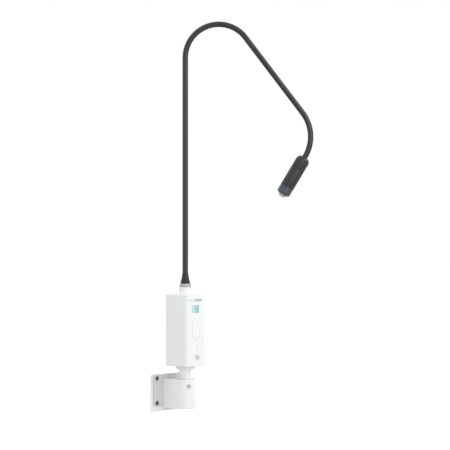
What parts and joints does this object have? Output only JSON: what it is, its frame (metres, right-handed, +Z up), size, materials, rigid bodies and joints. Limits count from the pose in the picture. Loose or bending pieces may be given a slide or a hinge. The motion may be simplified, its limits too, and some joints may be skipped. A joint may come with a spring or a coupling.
{
  "type": "dental operating light",
  "caption": "Wall-mounted gooseneck operating light: screwed bracket with swivel socket, square power box, rigid stalk, flexible neck and small cylindrical lamp head.",
  "frame": {"origin": "centre of the four wall holes, on the back face of the wall plate", "axes": "+Z up along the post, +Y into the wall, -Y out of the wall towards the front of the power box, +X to the right when facing the wall"},
  "size_m": [0.2274, 0.2613, 0.8205],
  "materials": {
    "enamel": "white enamel, smooth",
    "plate": "white powder coat",
    "casing": "white moulded plastic, satin",
    "bush": "grey acetal",
    "black_liner": "black moulded plastic",
    "clamp": "zinc plated",
    "steel": "plated steel",
    "white_tube": "white enamelled steel tube",
    "strip": "grey printed strip",
    "window": "light blue window",
    "led": "pale blue lens",
    "grey_trim": "grey plastic",
    "button": "slate plastic",
    "black_plastic": "black plastic",
    "board": "green circuit board",
    "core": "laminated iron core",
    "copper": "enamelled copper winding",
    "alloy": "plain aluminium",
    "rubber": "black rubber",
    "jacket": "black satin sleeve over a wound steel hose",
    "cable": "grey cable sheath",
    "head_black": "black anodised aluminium",
    "front_ring": "blue-grey anodised aluminium",
    "lens": "clear optical glass"
  },
  "bodies": {
    "bracket": {"wall_plate": "plate", "socket_block": "enamel", "socket_bush": "bush", "hole_liners": "black_liner", "clamp_screw": "clamp"},
    "lamp_post": {"post_tube": "white_tube", "post_collar": "casing", "post_flange_nut": "steel", "box_shell": "casing", "base_plate": "casing", "base_screws": "steel", "top_cap": "casing", "name_strip": "strip", "indicator_window": "window", "front_strip": "casing", "status_led": "led", "button_bezel": "grey_trim", "button_spring": "steel", "switch_body": "black_plastic", "driver_board": "board", "board_rails": "casing", "transformer": "core", "transformer_coil": "copper", "capacitor": "black_plastic", "driver_heat_sink": "alloy", "power_inlet": "black_plastic", "ring_nut": "steel", "arm_boot": "rubber", "arm_ferrule": "steel", "stalk_tube": "steel", "stalk_jacket": "jacket", "stalk_cable": "cable"},
    "power_button": {"power_button": "button"},
    "neck_01": {"neck_link_01": "jacket"},
    "neck_02": {"neck_link_02": "jacket"},
    "neck_03": {"neck_link_03": "jacket"},
    "neck_04": {"neck_link_04": "jacket"},
    "neck_05": {"neck_link_05": "jacket"},
    "neck_06": {"neck_link_06": "jacket"},
    "neck_07": {"neck_link_07": "jacket"},
    "neck_08": {"neck_link_08": "jacket"},
    "neck_09": {"neck_link_09": "jacket"},
    "neck_10": {"neck_link_10": "jacket"},
    "neck_11": {"neck_link_11": "jacket"},
    "neck_12": {"neck_link_12": "jacket"},
    "neck_13": {"neck_link_13": "jacket"},
    "lamp_head": {"neck_end": "jacket", "head_cap": "head_black", "head_shell": "head_black", "head_bezel": "front_ring", "head_lens": "lens", "lens_seal": "rubber", "head_reflector": "alloy", "led_board": "board", "led_dome": "led", "head_heat_sink": "alloy"}
  },
  "joints": [
    {"name": "post_swivel", "type": "hinge", "parent": "bracket", "child": "lamp_post", "pos_m": [0, -0.051, 0], "axis": [0, 0, 1], "range_deg": [-170, 170]},
    {"name": "button_press", "type": "slide", "parent": "lamp_post", "child": "power_button", "axis": [0, 1, 0], "range_m": [0, 0.0015], "stiffness_N_per_m": 600, "springref_m": -0.001, "deforming": ["button_spring"]},
    {"name": "neck_side_01", "type": "hinge", "parent": "lamp_post", "child": "neck_01", "pos_m": [0, -0.051, 0.68108], "axis": [0.6361, -0.7716, 0], "range_deg": [-24, 24]},
    {"name": "neck_bend_02", "type": "hinge", "parent": "neck_01", "child": "neck_02", "pos_m": [0, -0.051, 0.71692], "axis": [0.7716, 0.6361, 0], "range_deg": [-36, 3]},
    {"name": "neck_bend_03", "type": "hinge", "parent": "neck_02", "child": "neck_03", "pos_m": [0.0109, -0.06422, 0.7484], "axis": [0.7716, 0.6361, 0], "range_deg": [-36, 3]},
    {"name": "neck_bend_04", "type": "hinge", "parent": "neck_03", "child": "neck_04", "pos_m": [0.03004, -0.08744, 0.76785], "axis": [0.7716, 0.6361, 0], "range_deg": [-36, 3]},
    {"name": "neck_bend_05", "type": "hinge", "parent": "neck_04", "child": "neck_05", "pos_m": [0.05277, -0.11502, 0.77055], "axis": [0.7716, 0.6361, 0], "range_deg": [-36, 3]},
    {"name": "neck_bend_06", "type": "hinge", "parent": "neck_05", "child": "neck_06", "pos_m": [0.07356, -0.14023, 0.75584], "axis": [0.7716, 0.6361, 0], "range_deg": [-36, 3]},
    {"name": "neck_side_07", "type": "hinge", "parent": "neck_06", "child": "neck_07", "pos_m": [0.08849, -0.15835, 0.72491], "axis": [-0.5067, 0.6146, -0.6046], "range_deg": [-24, 24]},
    {"name": "neck_bend_08", "type": "hinge", "parent": "neck_07", "child": "neck_08", "pos_m": [0.10342, -0.17646, 0.69398], "axis": [0.7716, 0.6361, 0], "range_deg": [-22, 18]},
    {"name": "neck_side_09", "type": "hinge", "parent": "neck_08", "child": "neck_09", "pos_m": [0.11835, -0.19457, 0.66306], "axis": [-0.5067, 0.6146, -0.6046], "range_deg": [-24, 24]},
    {"name": "neck_bend_10", "type": "hinge", "parent": "neck_09", "child": "neck_10", "pos_m": [0.13328, -0.21268, 0.63213], "axis": [0.7716, 0.6361, 0], "range_deg": [-22, 18]},
    {"name": "neck_side_11", "type": "hinge", "parent": "neck_10", "child": "neck_11", "pos_m": [0.14821, -0.2308, 0.60121], "axis": [-0.5067, 0.6146, -0.6046], "range_deg": [-24, 24]},
    {"name": "neck_bend_12", "type": "hinge", "parent": "neck_11", "child": "neck_12", "pos_m": [0.16315, -0.24891, 0.57028], "axis": [0.7716, 0.6361, 0], "range_deg": [-36, 6]},
    {"name": "neck_bend_13", "type": "hinge", "parent": "neck_12", "child": "neck_13", "pos_m": [0.16839, -0.25527, 0.53846], "axis": [0.7716, 0.6361, 0], "range_deg": [-36, 6]},
    {"name": "neck_bend_14", "type": "hinge", "parent": "neck_13", "child": "lamp_head", "pos_m": [0.16543, -0.25169, 0.50592], "axis": [0.7716, 0.6361, 0], "range_deg": [-36, 6]}
  ]
}
